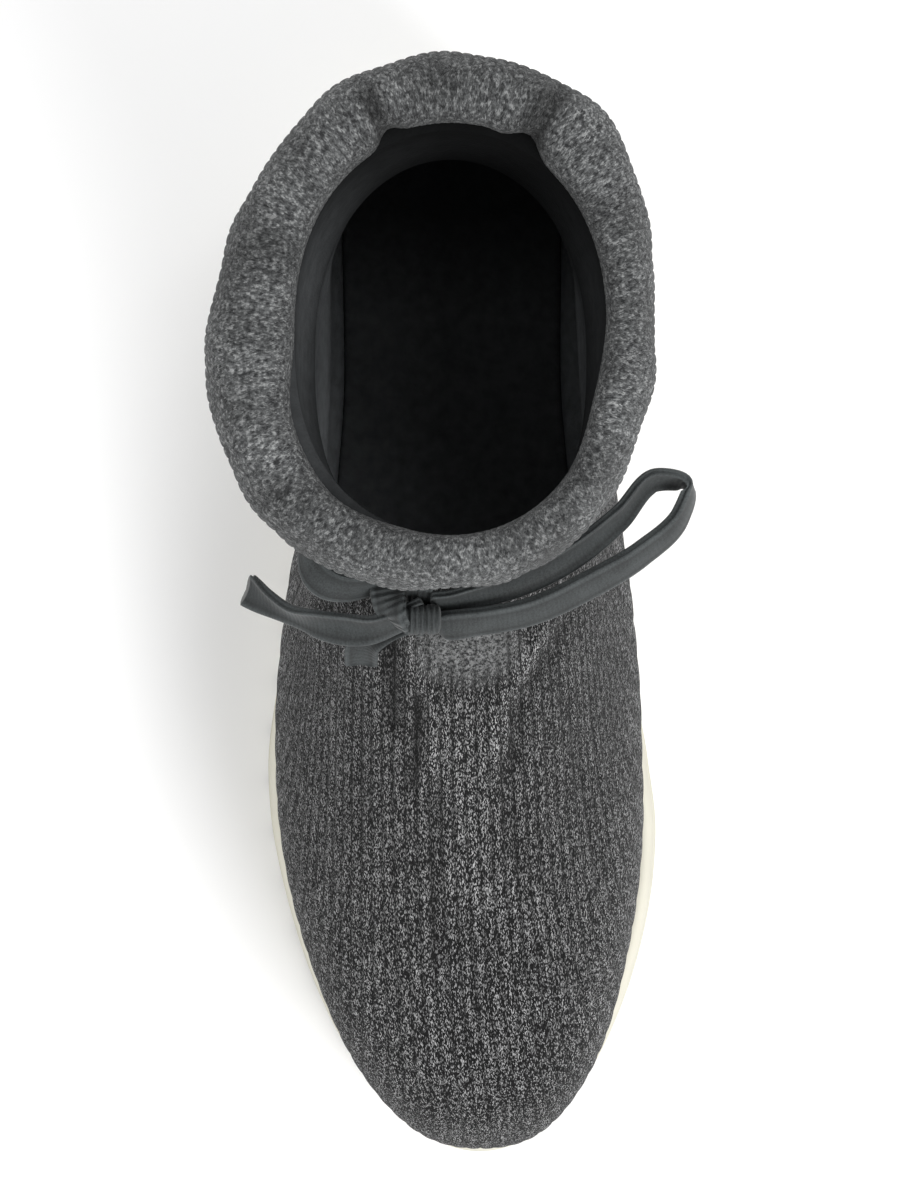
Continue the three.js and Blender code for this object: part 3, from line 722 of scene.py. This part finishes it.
def upper_rings(count):
    """The upper's own rings, from the footbed up to the top of the shaft."""
    turn = turns(count)
    edge = sole_outline(count)
    seat = inset_ring(edge, SEAT_INSET, rim_level)
    rings = [inset_ring(edge, SEAT_INSET, lambda x: footbed_level(x) + CLEARANCE), seat]
    for front, toe, rear, heel, foot, shaft, ankle, free in FOOT_ROWS:
        ring = free_ring(turn, front, rear, toe * TIE_LEVEL, heel * TIE_LEVEL, foot, shaft, ankle)
        rings.append(seat * (1 - free) + ring * free)
    tie = FOOT_ROWS[-1]
    for front, rear, level, shaft in SHAFT_ROWS:
        toe_level = TIE_LEVEL * tie[1] * (1 - level) + SHAFT_TOP * level
        heel_level = TIE_LEVEL * tie[3] * (1 - level) + SHAFT_TOP * level
        rings.append(free_ring(turn, front, rear, toe_level, heel_level, 1, shaft, 1))
    return np.array(rings)


def wall(rings, count):
    """Evenly spread rings over the same wall, and how far up it each of them is."""
    steps = np.linalg.norm(np.diff(rings, axis=0), axis=2).mean(axis=1)
    up = np.concatenate([[0], np.cumsum(steps)])
    even = np.linspace(0, up[-1], count)
    return smooth(rings, up, even), even, up


def wall_normals(rings):
    """Directions out of a wall of rings."""
    run = np.roll(rings, -1, axis=1) - np.roll(rings, 1, axis=1)
    rise = np.gradient(rings, axis=0)
    return unit(np.cross(run, rise))


def to_fold(points, line):
    """Distance of points from a fold's line, seen from above."""
    nearest = np.full(points.shape[:-1], 1e9)
    for start, end in zip(line, line[1:]):
        start, end = np.array(start), np.array(end)
        run = end - start
        share = np.clip(((points - start) @ run) / (run @ run), 0, 1)
        nearest = np.minimum(nearest, np.linalg.norm(points - start - share[..., None] * run, axis=-1))
    return nearest


def rib_relief(turn, ribs, depth):
    """Rounded ribs with narrow grooves between them."""
    return depth * (np.abs(np.sin(turn * ribs * math.pi)) ** 0.45 - 0.8)


upper_keys = upper_rings(UPPER_AROUND)
key_up = wall(upper_keys, 2)[2]
upper_count = round(key_up[-1] / UPPER_COURSE)
outer_wall, outer_up, key_up = wall(upper_keys, upper_count)
outer_normals = wall_normals(outer_wall)
outer_turn = turns(UPPER_AROUND)
plan = (outer_wall + SHOE_SHIFT)[..., :2]
facing_up = np.clip(outer_normals[..., 2] * 2.2, 0, 1)
folds = sum(height * np.exp(-((to_fold(plan, line) / width) ** 2)) for height, width, line in FOLDS)
above_seat = np.clip((outer_up - key_up[1]) / 6, 0, 1)[:, None]
tie_up = key_up[TIE_RING]
gather_waves = 0.45 * np.sin(outer_turn * 2 * math.pi * GATHERS + 0.7)
gathers = np.exp(-(((outer_up - tie_up) / 8) ** 2))[:, None] * gather_waves
waist = -0.5 * np.exp(-(((outer_up - tie_up) / 4.5) ** 2))[:, None]
ribbing = rib_relief(outer_turn, UPPER_RIBS, RIB_DEPTH)[None]
relief = (ribbing + gathers + waist) * above_seat + folds * facing_up
below_tie = np.clip((tie_up - outer_up) / 30, 0, 1)[:, None]
fullness = eased(KNIT_FULLNESS, outer_turn)[None] * above_seat * below_tie
knit_outer = outer_wall + outer_normals * (relief + fullness)[..., None]
knit_outer[-1, :, 2] = outer_wall[-1, :, 2] - RIM_DROP

inner_picks = np.linspace(0, upper_count - 1, INNER_ROWS).round().astype(int)
knit_inner = outer_wall[inner_picks] - outer_normals[inner_picks] * KNIT_WALL
knit_inner[0, :, 2] = outer_wall[0, :, 2]
knit_inner[-1, :, 2] = outer_wall[-1, :, 2] - RIM_DROP
knit_rings = shifted([*knit_outer, *knit_inner[::-1]])
inner_along = outer_up[-1] + KNIT_WALL + outer_up[-1] - outer_up[inner_picks[::-1]]
knit_along = np.concatenate([outer_up, inner_along, [0]])


def melange_finish(
    name, wales, course, fuzz_scale, softness, stops, hollow_shade, relief_depth, ribs, groove_shade_strength,
    soft_spot=None,
):
    """Melange knit: slanting stitches in pale and dark yarn and a little fuzz, with painted shade in its
    hollows and rib grooves and painted light on its ridges. soft_spot is the middle and the half sizes of a
    patch that is rubbed soft and pale."""
    finish, tree, shader = new_finish(
        name, Roughness=0.95, Specular_IOR_Level=0.12, Sheen_Weight=0.08, Sheen_Roughness=0.6
    )

    def sums(operation, *inputs):
        return maths(tree, operation, *inputs)

    cloth = add_node(tree, "ShaderNodeUVMap", {}, uv_map="cloth").outputs[0]
    parts = add_node(tree, "ShaderNodeSeparateXYZ", {0: cloth})
    place = add_node(tree, "ShaderNodeTexCoord", {}).outputs["Object"]
    wale = sums("MULTIPLY", parts.outputs[0], wales)
    slant = sums("ABSOLUTE", sums("SUBTRACT", sums("FRACT", wale), 0.5))
    rise = sums("ADD", sums("DIVIDE", parts.outputs[1], course), sums("MULTIPLY", slant, 1.8))
    stitch = add_node(tree, "ShaderNodeCombineXYZ", {0: sums("MULTIPLY", wale, 2), 1: rise})
    yarn = add_node(
        tree, "ShaderNodeTexVoronoi", {"Vector": stitch.outputs[0], "Scale": 1, "Randomness": 0.85},
        voronoi_dimensions="2D",
    )
    shade = add_node(tree, "ShaderNodeSeparateColor", {0: yarn.outputs["Color"]}).outputs[0]
    fuzz = noise(tree, place, fuzz_scale, 2, Roughness=0.7)
    mixed = sums("ADD", sums("MULTIPLY", shade, 1 - softness), sums("MULTIPLY", fuzz, softness))
    tone = shades_of(tree, mixed, stops)
    # Painted shade: the grooves between ribs are painted darker, more so higher up the foot.
    across_rib = sums("ABSOLUTE", sums("SINE", sums("MULTIPLY", parts.outputs[0], ribs * math.pi)))
    level = add_node(tree, "ShaderNodeSeparateXYZ", {0: place}).outputs[2]
    groove_shade_by_height = add_node(
        tree, "ShaderNodeMapRange", {0: level, 1: 0.045, 2: 0.085, 3: 0.6 * groove_shade_strength, 4: groove_shade_strength}
    ).outputs[0]
    shut = sums("SUBTRACT", 1.0, sums("POWER", across_rib, 0.45))
    painted_groove = sums("SUBTRACT", 1.0, sums("MULTIPLY", groove_shade_by_height, shut))
    if soft_spot:
        middle, half_sizes = soft_spot
        from_spot = add_node(tree, "ShaderNodeVectorMath", {0: place, 1: middle}, operation="SUBTRACT")
        in_spot = add_node(
            tree, "ShaderNodeVectorMath", {0: from_spot.outputs[0], 1: half_sizes}, operation="DIVIDE"
        )
        far = add_node(tree, "ShaderNodeVectorMath", {0: in_spot.outputs[0]}, operation="LENGTH")
        rubbed = add_node(
            tree, "ShaderNodeMapRange", {0: far.outputs["Value"], 1: 1.25, 2: 0.6, 4: 0.85}
        ).outputs[0]
        nap = noise(tree, place, 1300, 2, Roughness=0.7)
        pale = shades_of(tree, nap, [(0.4, (0.02, 0.021, 0.022)), (0.62, (0.27, 0.275, 0.275))])
        blend = add_node(tree, "ShaderNodeMix", {0: rubbed, 6: tone, 7: pale}, data_type="RGBA")
        tone = blend.outputs[2]
        painted_groove = sums("MAXIMUM", painted_groove, rubbed)
    # Painted shade and light: the relief darkens hollows and folds and lightens ridges.
    stands = add_node(tree, "ShaderNodeAttribute", {}, attribute_name="relief").outputs["Fac"]
    hollow = sums("MINIMUM", sums("MULTIPLY_ADD", stands, hollow_shade, 1.0), 1.5)
    hollow = sums("MAXIMUM", hollow, 0.35)
    tone_noise_and_groove_shade = sums("MULTIPLY", sums("MULTIPLY_ADD", noise(tree, place, 90, 3), 0.7, 0.65), painted_groove)
    colour = scaled(tree, tone, sums("MULTIPLY", hollow, tone_noise_and_groove_shade))
    height = sums("SUBTRACT", sums("MULTIPLY", fuzz, 0.8), yarn.outputs["Distance"])
    finish_with(tree, shader, colour, 0.9, relief_depth, height)
    return finish


knit = melange_finish(
    "ribbed_melange_knit", 800, 0.25, 4800, 0.35,
    [
        (0.34, (0.0006, 0.0006, 0.0008)), (0.53, (0.0025, 0.0025, 0.0028)),
        (0.64, (0.024, 0.024, 0.025)), (0.75, (0.36, 0.36, 0.362)),
    ],
    0.6, 0.00022, UPPER_RIBS, 1.0, soft_spot=((0.006, 0.0055, 0.101), (0.01, 0.0125, 0.012)),
)
knit_relief = np.concatenate([relief, np.zeros((len(inner_picks), UPPER_AROUND))])
upper_skin = loft(knit_rings, knit_along, closed=True, relief=knit_relief)
add_piece("upper_knit", upper_skin, knit, "upper_knit", "upper")

# Lining. A thin dark brushed jersey inside the whole sock. Under the cuff's fold it is turned over
# the knit's rim as a narrow binding.
LINING_WALL = 0.7
LINING_GAP = 0.1
LINING_AROUND = 420
LINING_ROWS = 90
BINDING = 1.2
# Dents of the cuff's fold beside the heel: where in the turn, how wide, and how deep.
CUFF_POCKETS = [(0.556, 0.013, 3.2), (0.431, 0.018, 3.8)]
# How far the fold's inner edge stands off the collar besides, by turn.
CUFF_DRIFT = [
    (0, 0), (0.12, -0.8), (0.19, -2), (0.27, 0), (0.44, 0), (0.47, 1.8), (0.53, 1.8), (0.56, 0), (0.75, 0),
    (0.82, 2.6), (0.88, 2.6), (0.96, 0), (1, 0),
]


def soft_bump(turn, middle, width):
    """One soft bump round a place in the turn."""
    return np.exp(-(((turn - middle) / width) ** 2))


def pockets(turn):
    """How deep the dents beside the heel are, by turn."""
    return sum(depth * soft_bump(turn, middle, width) for middle, width, depth in CUFF_POCKETS)


def collar_slack(turn):
    """How far the cuff's inner edge stands off the collar, where the lining reaches out to it."""
    return eased(CUFF_DRIFT, turn) + pockets(turn)


lining_wall = wall(upper_rings(LINING_AROUND), LINING_ROWS)[0]
lining_normals = wall_normals(lining_wall)
lining_outer = lining_wall - lining_normals * (KNIT_WALL + LINING_GAP)
lining_inner = lining_wall - lining_normals * (KNIT_WALL + LINING_GAP + LINING_WALL)
lining_outer[0, :, 2] = lining_wall[0, :, 2]
lining_inner[0, :, 2] = lining_wall[0, :, 2]
lining_outer[-1, :, 2] = SHAFT_TOP - BINDING + 0.1
lining_inner[-1, :, 2] = SHAFT_TOP + CLEARANCE / 2
rim_out = outward(lining_wall[-1])
rim_slack = np.maximum(0, collar_slack(turns(LINING_AROUND)))[:, None]
binding = []
for out, drop in ((-0.15, BINDING - 0.1), (0.1, BINDING * 0.6), (0, 0), (-0.6, -CLEARANCE / 2)):
    ring = lining_wall[-1] + rim_out * (out + rim_slack)
    ring[:, 2] = SHAFT_TOP - drop
    binding.append(ring)
lining_rings = shifted([*lining_outer, *binding, *lining_inner[::-1]])


def jersey_finish(name, painted_light_by_height, painted_inner_shade):
    """Dark brushed jersey: a fine close knit, with light and shade painted into its colour. The first list
    holds heights and painted shades of the outer side; the next value is the part of them that the shoe's
    inner side keeps, so the inner side is painted darker, and the heel is painted darker too."""
    finish, tree, shader = new_finish(name, Roughness=0.95, Specular_IOR_Level=0.08)
    place = add_node(tree, "ShaderNodeTexCoord", {}).outputs["Object"]
    spot = add_node(tree, "ShaderNodeSeparateXYZ", {0: place})
    loops = add_node(tree, "ShaderNodeTexVoronoi", {"Vector": place, "Scale": 1300})
    # Painted light and shade: the colour changes with height, and the inner side and the heel are painted
    # darker.
    rise = add_node(tree, "ShaderNodeMapRange", {0: spot.outputs[2], 1: 0, 2: SHAFT_TOP * 0.001})
    stops = [(height / SHAFT_TOP, (tone * 0.95, tone, tone * 1.04)) for height, tone in painted_light_by_height]
    tone = shades_of(tree, rise.outputs[0], stops)
    across = add_node(
        tree, "ShaderNodeMapRange", {0: spot.outputs[1], 1: -0.03, 2: 0, 3: 1, 4: painted_inner_shade}
    ).outputs[0]
    painted_heel_shade = add_node(
        tree, "ShaderNodeMapRange", {0: spot.outputs[0], 1: -0.106, 2: -0.078, 3: 0.3, 4: 1}
    ).outputs[0]
    nap = maths(tree, "MULTIPLY_ADD", noise(tree, place, 300, 4), 0.8, 0.6)
    nap_and_painted_shade = maths(tree, "MULTIPLY", nap, maths(tree, "MULTIPLY", across, painted_heel_shade))
    finish_with(tree, shader, scaled(tree, tone, nap_and_painted_shade), 0.7, 0.0002, loops.outputs["Distance"])
    return finish


# The lining's colour is painted light and shade: paler part way down the shaft, darker at the rim and deep in
# the foot, darker on the inner side and at the heel.
jersey = jersey_finish(
    "dark_jersey",
    [(40, 0.6), (90, 0.4), (114, 0.05), (124, 0.055), (138, 0.07), (150, 0.06), (163, 0.035)],
    0.36,
)
lining_skin = loft(lining_rings, np.arange(len(lining_rings) + 1), closed=True)
add_piece("lining", lining_skin, jersey, "lining")

# Insole. A die-cut foam footbed under dark jersey, laid loose on the foam unit inside the sock.
INSOLE_THICKNESS = 4
insole_inset = SEAT_INSET + UPPER_WALL
# The insole's colour is painted darker on the inner side and at the heel.
insole_jersey = jersey_finish("insole_jersey", [(20, 0.14), (60, 0.14)], 0.5)


def insole_ring(inset, rise):
    return inset_ring(outline, insole_inset + inset, lambda x: footbed_level(x) + CLEARANCE + rise)


insole_rings = [
    spine(insole_ring(0, 0)),
    insole_ring(0.4, 0),
    insole_ring(0, 0.4),
    insole_ring(0, INSOLE_THICKNESS * 0.6),
    insole_ring(INSOLE_THICKNESS * 0.06, INSOLE_THICKNESS * 0.8),
    insole_ring(INSOLE_THICKNESS * 0.18, INSOLE_THICKNESS * 0.94),
    insole_ring(INSOLE_THICKNESS * 0.3, INSOLE_THICKNESS),
    insole_ring(INSOLE_THICKNESS * 0.5, INSOLE_THICKNESS),
    spine(insole_ring(INSOLE_THICKNESS * 0.3, INSOLE_THICKNESS)),
]
insole_skin = loft(shifted(insole_rings), np.arange(len(insole_rings)))
insole = add_piece("insole_pad", insole_skin, insole_jersey, "lining", "insole")

# Cuff. The top of the sock in a thicker, softer rib, turned over outwards and left springy. Its
# hem hangs free above the tie, and it is dented in beside the heel.
CUFF_GAP = 8
CUFF_REACH = 17.6
CUFF_WALL = 3
CUFF_DROP = CUFF_TOP - TIE_LEVEL - CUFF_GAP
CUFF_RIBS = 140
CUFF_AROUND = 840
CUFF_ROWS = 60
CUFF_INNER_ROWS = 22
CUFF_RIB_DEPTH = 0.3
CUFF_PLAN = [
    (0, 0.55), (0.125, 0.51), (0.25, 0.5), (0.375, 0.8), (0.5, 0.91), (0.625, 0.77), (0.75, 1), (0.875, 0.82),
    (1, 0.55),
]
CUFF_SECTION = [
    (0.02, 0.87), (0.08, 0.94), (0.2, 0.985), (0.4, 1), (0.62, 0.97), (0.82, 0.89), (0.95, 0.76),
    (1, 0.58), (0.99, 0.35), (0.95, 0.15), (0.9, 0.02),
]
# How far the hanging part stands off the even form, by turn.
CUFF_SWELL = [
    (0, 0), (0.08, 0), (0.15, -1.6), (0.25, 0.3), (0.33, -1), (0.41, 1.3), (0.48, 0), (0.53, 0.2),
    (0.6, 0.8), (0.66, 0.4), (0.72, -0.6), (0.79, 0.8), (0.86, 1.6), (0.95, 0.3), (1, 0),
]
# Creases over the fold: where in the turn, how wide, how deep, and the shares of the section.
CUFF_CREASES = [
    (0.563, 0.005, 1.3, 0, 0.42), (0.424, 0.006, 1.4, 0, 0.45), (0.3, 0.005, 0.6, 0.1, 0.5),
    (0.27, 0.004, 0.45, 0.05, 0.4), (0.13, 0.006, 0.4, 0, 0.4), (0.86, 0.006, 0.4, 0.1, 0.5),
    (0.7, 0.007, 0.4, 0.2, 0.6),
]

cuff_turn = turns(CUFF_AROUND)
collar = upper_rings(CUFF_AROUND)[-1]
collar_out = outward(collar)
reach = UPPER_WALL + CUFF_REACH * eased(CUFF_PLAN, cuff_turn)
section = [np.stack([np.full(CUFF_AROUND, -UPPER_WALL), np.full(CUFF_AROUND, SHAFT_TOP + CLEARANCE)], axis=1)]
for out, level in CUFF_SECTION:
    height = np.full(CUFF_AROUND, CUFF_TOP - CUFF_DROP + level * CUFF_DROP)
    section.append(np.stack([out * reach - UPPER_WALL, height], axis=1))
section = np.array(section)
section_steps = np.linalg.norm(np.diff(section, axis=0), axis=2).mean(axis=1)
section_up = np.concatenate([[0], np.cumsum(section_steps)])
fine_up = np.linspace(0, section_up[-1], CUFF_ROWS)
fold = smooth(section, section_up, fine_up)
share = fine_up / fine_up[-1]
run = unit(np.gradient(fold, axis=0))
fold_normal = np.stack([-run[..., 1], run[..., 0]], axis=-1) * -1
fold_normal = np.where(fold_normal[CUFF_ROWS // 3, 0, 1] > 0, 1, -1) * fold_normal


lumps = (
    0.35 * np.sin(2 * math.pi * (5 * cuff_turn[None] + 0.6 * share[:, None]) + 0.5)
    + 0.3 * np.sin(2 * math.pi * (11 * cuff_turn[None] - 0.9 * share[:, None]) + 2.1)
    + 0.25 * np.sin(2 * math.pi * (17 * cuff_turn[None] + 1.7 * share[:, None]) + 4)
)
rib_fade = np.clip(share * 5, 0.25, 1)[:, None]
cuff_ribbing = rib_relief(cuff_turn, CUFF_RIBS, CUFF_RIB_DEPTH)[None]
cuff_relief = cuff_ribbing * rib_fade + lumps * np.clip(share * 4, 0, 1)[:, None]
for middle, width, depth, start, end in CUFF_CREASES:
    along_crease = np.clip((share - start) / 0.08, 0, 1) * np.clip((end - share) / 0.12, 0, 1)
    cuff_relief = cuff_relief - depth * along_crease[:, None] * soft_bump(cuff_turn, middle, width)[None]
fade_out = np.clip(1 - share / 0.4, 0, 1)[:, None]
swell_in = np.clip(share / 0.3, 0, 1)[:, None]
stand_off = pockets(cuff_turn) * np.clip(1 - share / 0.5, 0, 1)[:, None] ** 1.4
stand_off = stand_off + eased(CUFF_DRIFT, cuff_turn) * fade_out + eased(CUFF_SWELL, cuff_turn) * swell_in
cuff_outer = fold + fold_normal * cuff_relief[..., None]
cuff_outer[..., 0] += stand_off
cuff_inner = fold - fold_normal * CUFF_WALL
cuff_inner[..., 0] += stand_off
cuff_inner[0, :, 1] = SHAFT_TOP + CLEARANCE
cuff_outer[0, :, 1] = SHAFT_TOP + CLEARANCE
hem_middle = (cuff_outer[-1] + cuff_inner[-1]) / 2
hem_half = (cuff_outer[-1] - cuff_inner[-1]) / 2
hem_down = run[-1] * (CUFF_WALL / 2)
hem = [
    hem_middle + hem_half * math.cos(angle) + hem_down * math.sin(angle)
    for angle in np.linspace(0, math.pi, 9)[1:-1]
]
inner_picks = np.linspace(0, CUFF_ROWS - 1, CUFF_INNER_ROWS).round().astype(int)[::-1]
cuff_profile = [*cuff_outer, *hem, *cuff_inner[inner_picks]]
cuff_rings = []
for profile in cuff_profile:
    ring = collar + collar_out * profile[:, :1]
    ring[:, 2] = profile[:, 1]
    cuff_rings.append(ring + SHOE_SHIFT)
hem_along = fine_up[-1] + np.linspace(0.5, 4.5, 7)
cuff_along = np.concatenate([fine_up, hem_along, hem_along[-1] + fine_up[-1] - fine_up[inner_picks], [0]])
cuff_knit = melange_finish(
    "soft_cuff_knit", 420, 0.7, 760, 0.78,
    [
        (0.32, (0.02, 0.021, 0.022)), (0.44, (0.056, 0.058, 0.059)),
        (0.56, (0.11, 0.114, 0.115)), (0.68, (0.25, 0.255, 0.255)),
    ],
    0.35, 0.0004, CUFF_RIBS, 0.1,
)
# Painted shade: the cuff's relief darkens its hollows and lightens its ridges, and the dents beside the heel
# are painted darker than their shallow geometry.
cuff_painted_shading = np.zeros((len(cuff_rings), CUFF_AROUND))
cuff_painted_shading[:CUFF_ROWS] = cuff_relief
pocket_tip = np.clip(1 - share / 0.4, 0.02, 1)[:, None]
for middle, width, _ in CUFF_POCKETS:
    pocket_shade = soft_bump(cuff_turn[None], middle, width * 1.3 * pocket_tip)
    cuff_painted_shading[:CUFF_ROWS] -= 1.9 * np.clip(pocket_tip * 3, 0, 1) * pocket_shade
cuff_skin = loft(cuff_rings, cuff_along, closed=True, relief=cuff_painted_shading)
add_piece("cuff_knit", cuff_skin, cuff_knit, "cuff_knit", "cuff")

# Tie round the ankle. The same tape lies on the sock above the instep and hangs slack in front on
# the outer side, where it comes round to the knot.
TAPE_SLACK = 12.5
SLACK_TURN = 0.905
SLACK_SPREAD = 0.06
SLACK_TWIST = 1
BAND_AROUND = 360
BAND_ROWS = 300
band_turn = turns(BAND_AROUND)
band_wall, band_up, band_keys = wall(upper_rings(BAND_AROUND), BAND_ROWS)
band_normals = wall_normals(band_wall)
slack = np.maximum(0, 1 - ((band_turn - SLACK_TURN) / SLACK_SPREAD) ** 2) ** 2
twist = SLACK_TWIST * slack
band_middle = smooth(band_wall, band_up, np.array([band_keys[TIE_RING]]))[0]
band_out = unit(smooth(band_normals, band_up, np.array([band_keys[TIE_RING]]))[0])
band_rise = unit(smooth(band_wall, band_up, np.array([band_keys[TIE_RING] + 1]))[0] - band_middle)
band_rise = unit(band_rise - band_out * np.sum(band_rise * band_out, axis=1, keepdims=True))
centre = band_middle + band_out * (CLEARANCE + TAPE_THICKNESS * 0.55 + TAPE_SLACK * slack[:, None])
wide_way = band_rise * np.cos(twist)[:, None] - band_out * np.sin(twist)[:, None]
thick_way = band_out * np.cos(twist)[:, None] + band_rise * np.sin(twist)[:, None]
band_rings = [centre + wide_way * wide + thick_way * thick for wide, thick in tape_section[::-1]]
band_painted_edges = np.tile(painted_tape_edges([0])[0][::-1, None], (1, BAND_AROUND))
band_skin = loft(shifted(band_rings), np.arange(len(band_rings) + 1), closed=True, relief=band_painted_edges)
add_piece("ankle_band", band_skin, braid, "tape", "tie_band")
